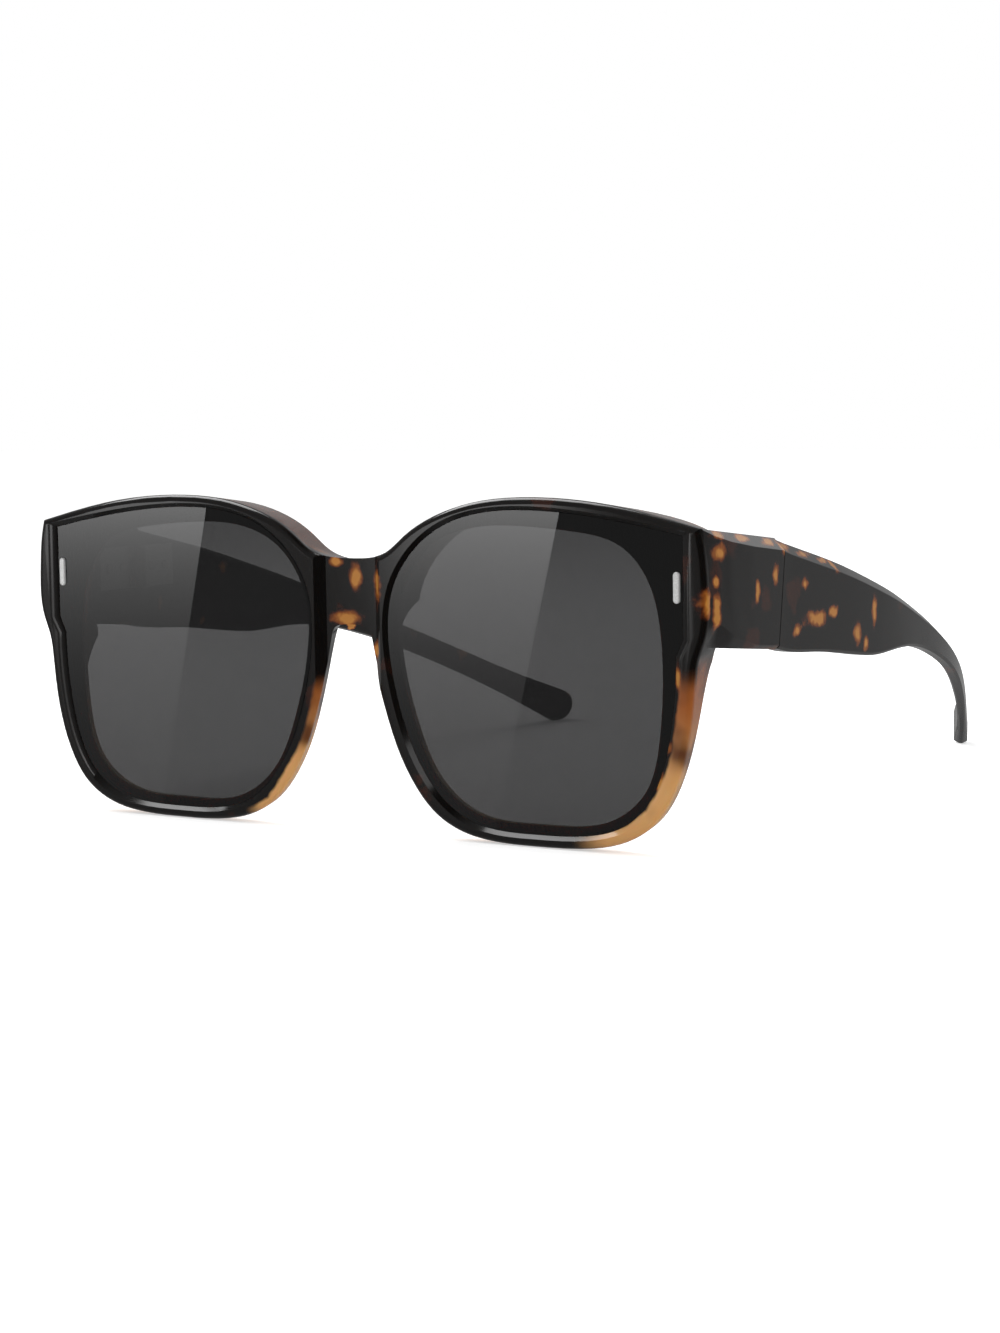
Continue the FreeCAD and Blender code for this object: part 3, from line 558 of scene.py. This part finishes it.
# %% Bright bar and hinge steel
def metal(name, colour, base, amount, scale, grain, share=1.0):
    """A metal: its colour, its roughness and how much that varies, and the size and stretch of its marks."""
    paint = bpy.data.materials.new(name)
    tree = empty_tree(paint)
    along = add(tree, "ShaderNodeMapping", {"Vector": object_place(tree), "Scale": grain}).outputs[0]
    wear = marked(tree, along, scale, amount, base)
    darker = [value * 0.78 for value in colour]
    light = ramp(tree, wear["Height"], 0.3 * amount, 0.7 * amount)
    tone = blend(tree, light, (*darker, 1), (*colour, 1))
    bump = add(tree, "ShaderNodeBump", {"Height": wear["Height"], "Strength": 0.25, "Distance": 0.02 * MM})
    finish_tree(tree, add(tree, "ShaderNodeBsdfPrincipled", {
        "Base Color": tone, "Metallic": share, "Roughness": wear["Roughness"], "Normal": bump.outputs[0]}))
    return paint


bar_metal = metal("plated bar", (0.97, 0.97, 0.96), 0.34, 0.08, 900.0, (1, 1, 1), 0.45)
hinge_steel = metal("brushed hinge steel", (0.58, 0.57, 0.55), 0.32, 0.16, 1500.0, (1, 1, 0.06))
screw_steel = metal("turned screw steel", (0.66, 0.64, 0.60), 0.24, 0.12, 2200.0, (1, 1, 1))
print("three metals")

# %% [markdown]
# ## Soft edges
# A moulded edge is never razor sharp: it has a small radius that catches a
# line of light, and without it plastic looks like paper. The construction
# model arrives as loose triangles, so each piece is copied, its corners are
# merged and its flat faces are joined up again. The plastic, the bars and the
# hinge leaves then get a narrow bevel along the edges that are really sharp,
# and the tips of the temples a wider one. The lenses and pins stay crisp. The
# shading is then evened out, so that a wide flat face beside a narrow bevel
# still looks flat.


# %% A helper for soft edges
TIP_STARTS = front_y + 155 * MM
MERGED_WITHIN, FLAT_WITHIN = 0.002 * MM, math.radians(0.6)
FRONT_EDGE, TEMPLE_EDGE, TIP_EDGE, BAR_EDGE, LEAF_EDGE = (
    width * MM for width in (0.12, 0.4, 0.6, 0.1, 0.08))


def softened(node, name, width, angle=32.0, tip_width=0.0):
    """A copy of a piece of the construction model with rounded edges and smooth shading."""
    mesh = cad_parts[node].data.copy()
    mesh.name = name
    shape = bmesh.new()
    shape.from_mesh(mesh)
    bmesh.ops.remove_doubles(shape, verts=shape.verts, dist=MERGED_WITHIN)
    bmesh.ops.dissolve_limit(shape, angle_limit=FLAT_WITHIN, verts=shape.verts, edges=shape.edges)
    limit = math.radians(angle)
    sharp = [edge for edge in shape.edges if edge.is_manifold and edge.calc_face_angle() > limit]
    at_tip = [edge for edge in sharp if tip_width and min(vert.co.y for vert in edge.verts) > TIP_STARTS]
    along = [edge for edge in sharp if edge not in at_tip]
    for edges, reach in ((at_tip, tip_width), (along, width)):
        edges = [edge for edge in edges if edge.is_valid]
        if edges and reach:
            bmesh.ops.bevel(shape, geom=edges, offset=reach, segments=3, profile=0.5, affect="EDGES",
                            clamp_overlap=True)
    shape.to_mesh(mesh)
    shape.free()
    mesh.shade_smooth()
    mesh.set_sharp_from_angle(angle=limit)
    mesh.materials.clear()
    piece = bpy.data.objects.new(name, mesh)
    bpy.context.scene.collection.objects.link(piece)
    evener = piece.modifiers.new("even shading", "WEIGHTED_NORMAL")
    evener.keep_sharp = True
    ready = piece.evaluated_get(bpy.context.evaluated_depsgraph_get())
    shaded = bpy.data.meshes.new_from_object(ready)
    piece.modifiers.clear()
    piece.data = shaded
    bpy.data.meshes.remove(mesh)
    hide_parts(node)
    return piece


def finish_piece(piece, material, body):
    piece.data.materials.append(material)
    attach(piece, body)
    print("%-24s %6d faces on %s" % (piece.name, len(piece.data.polygons), body))


print("tips start at", round(TIP_STARTS, 3))

# %% The front frame
finish_piece(softened("front_frame", "moulded_front", FRONT_EDGE, 35.0), front_plastic, "front")

# %% Temples, lenses and bars
for word, plastic in (("left", temple_plastic), ("right", far_plastic)):
    temple = softened("temple_" + word, "arm_" + word, TEMPLE_EDGE, 40.0, TIP_EDGE)
    finish_piece(temple, plastic, "temple_" + word)
    finish_piece(softened("lens_" + word, "smoke_lens_" + word, 0), lens_tint, "front")
    bar = softened("accent_bar_" + word, "bright_bar_" + word, BAR_EDGE)
    finish_piece(bar, bar_metal, "front")

# %% Hinges
for word in ("left", "right"):
    front_leaf = softened("front_leaf_" + word, "front_hinge_" + word, LEAF_EDGE)
    finish_piece(front_leaf, hinge_steel, "front")
    temple_leaf = softened("temple_leaf_" + word, "temple_hinge_" + word, LEAF_EDGE)
    finish_piece(temple_leaf, hinge_steel, "temple_" + word)
    finish_piece(softened("hinge_screw_" + word, "pin_" + word, 0), screw_steel, "front")

# %% [markdown]
# ## Leaf screws
# Each hinge leaf is held by two small screws with slotted heads. They are all
# alike, so Geometry Nodes makes one screw from a head, a bevelled rim, a shank
# and a slot, sets a copy on each of two points, and turns them to face inwards.
# The numbers below are shares of the screw's own sizes.


# %% The screw tree
DISC_SHARE, RIM_SHARE, RIM_TOP = 0.62, 0.38, 0.84
SLOT_LONG, SLOT_WIDE = 3.0, 0.26
RIM_SUNK, SHANK_MIDDLE = 0.999, -0.49


def screw_tree():
    tree = bpy.data.node_groups.new("leaf screws", "GeometryNodeTree")
    tree.interface.new_socket("Places", in_out="INPUT", socket_type="NodeSocketGeometry")
    for label in ("Head Radius", "Head Height", "Shank Radius", "Shank Length"):
        tree.interface.new_socket(label, in_out="INPUT", socket_type="NodeSocketFloat")
    tree.interface.new_socket("Turn", in_out="INPUT", socket_type="NodeSocketVector")
    tree.interface.new_socket("Finish", in_out="INPUT", socket_type="NodeSocketMaterial")
    tree.interface.new_socket("Screws", in_out="OUTPUT", socket_type="NodeSocketGeometry")
    given = tree.nodes.new("NodeGroupInput").outputs
    out = tree.nodes.new("NodeGroupOutput").inputs

    def moved(geometry, up):
        shift = add(tree, "ShaderNodeCombineXYZ", {"Z": up}).outputs[0]
        return add(tree, "GeometryNodeTransform", {"Geometry": geometry, "Translation": shift}).outputs[0]

    head, long = given["Head Radius"], given["Shank Length"]
    disc_height = product(tree, given["Head Height"], DISC_SHARE)
    rim_height = product(tree, given["Head Height"], RIM_SHARE)
    sizes = {"Vertices": 40, "Radius": head, "Depth": disc_height}
    disc = add(tree, "GeometryNodeMeshCylinder", sizes).outputs[0]
    sizes = {"Vertices": 40, "Radius Bottom": head, "Radius Top": product(tree, head, RIM_TOP),
             "Depth": rim_height}
    rim = add(tree, "GeometryNodeMeshCone", sizes).outputs[0]
    sizes = {"Vertices": 28, "Radius": given["Shank Radius"], "Depth": long}
    shank = add(tree, "GeometryNodeMeshCylinder", sizes).outputs[0]
    sizes = {"X": product(tree, head, SLOT_LONG), "Y": product(tree, head, SLOT_WIDE),
             "Z": given["Head Height"]}
    slot_size = add(tree, "ShaderNodeCombineXYZ", sizes).outputs[0]
    slot = add(tree, "GeometryNodeMeshCube", {"Size": slot_size}).outputs[0]
    join = add(tree, "GeometryNodeMeshBoolean", operation="UNION", solver="EXACT")
    disc = moved(disc, product(tree, disc_height, 0.5))
    rim = moved(rim, product(tree, disc_height, RIM_SUNK))
    shank = moved(shank, product(tree, long, SHANK_MIDDLE))
    for shape in (disc, rim, shank):
        tree.links.new(shape, join.inputs["Mesh 2"])
    carve = add(tree, "GeometryNodeMeshBoolean", operation="DIFFERENCE", solver="EXACT")
    tree.links.new(join.outputs[0], carve.inputs["Mesh 1"])
    tree.links.new(moved(slot, given["Head Height"]), carve.inputs["Mesh 2"])
    turn = add(tree, "FunctionNodeEulerToRotation", {0: given["Turn"]}).outputs[0]
    inputs = {"Points": given["Places"], "Instance": carve.outputs[0], "Rotation": turn}
    copies = add(tree, "GeometryNodeInstanceOnPoints", inputs).outputs[0]
    real = add(tree, "GeometryNodeRealizeInstances", {0: copies}).outputs[0]
    coated = add(tree, "GeometryNodeSetMaterial", {"Geometry": real, "Material": given["Finish"]}).outputs[0]
    tree.links.new(coated, out["Screws"])
    return tree


screws = screw_tree()
sockets = {item.name: item.identifier for item in screws.interface.items_tree if item.in_out == "INPUT"}
print("tree:", screws.name, "with inputs", sorted(sockets))


# %% Screws in their leaves
KNUCKLE_TO_FACE = 2.4 * MM
HEAD_HEIGHT, SHANK_RADIUS, SHANK_LENGTH = 0.35 * MM, 0.55 * MM, 2.3 * MM


def leaf_screws(node, name, side, body):
    """The two screws of one leaf, seated on its face, which lies back from the inner side of its knuckle."""
    low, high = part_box(node)
    radius = (high.z - low.z) / 2
    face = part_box(node.replace("screws_", ""))
    seat = face[0].x + KNUCKLE_TO_FACE if side > 0 else face[1].x - KNUCKLE_TO_FACE
    middle = (low.z + high.z) / 2
    mesh = bpy.data.meshes.new(name)
    mesh.from_pydata([(seat, low.y + radius, middle), (seat, high.y - radius, middle)], [], [])
    carrier = bpy.data.objects.new(name + "_places", mesh)
    bpy.context.scene.collection.objects.link(carrier)
    modifier = carrier.modifiers.new("screws", "NODES")
    modifier.node_group = screws
    sizes = {"Head Radius": radius, "Head Height": HEAD_HEIGHT, "Shank Radius": SHANK_RADIUS,
             "Shank Length": SHANK_LENGTH, "Turn": (0.0, -math.pi / 2 * side, 0.0), "Finish": screw_steel}
    for label, value in sizes.items():
        modifier[sockets[label]] = value
    ready = carrier.evaluated_get(bpy.context.evaluated_depsgraph_get())
    made = bpy.data.meshes.new_from_object(ready)
    bpy.data.objects.remove(carrier)
    made.shade_smooth()
    made.set_sharp_from_angle(angle=math.radians(30))
    piece = bpy.data.objects.new(name, made)
    bpy.context.scene.collection.objects.link(piece)
    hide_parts(node)
    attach(piece, body)
    print("%-24s %6d faces on %s" % (name, len(made.polygons), body))


for word, side in (("left", 1), ("right", -1)):
    leaf_screws("front_leaf_screws_" + word, "front_screws_" + word, side, "front")
    leaf_screws("temple_leaf_screws_" + word, "temple_screws_" + word, side, "temple_" + word)
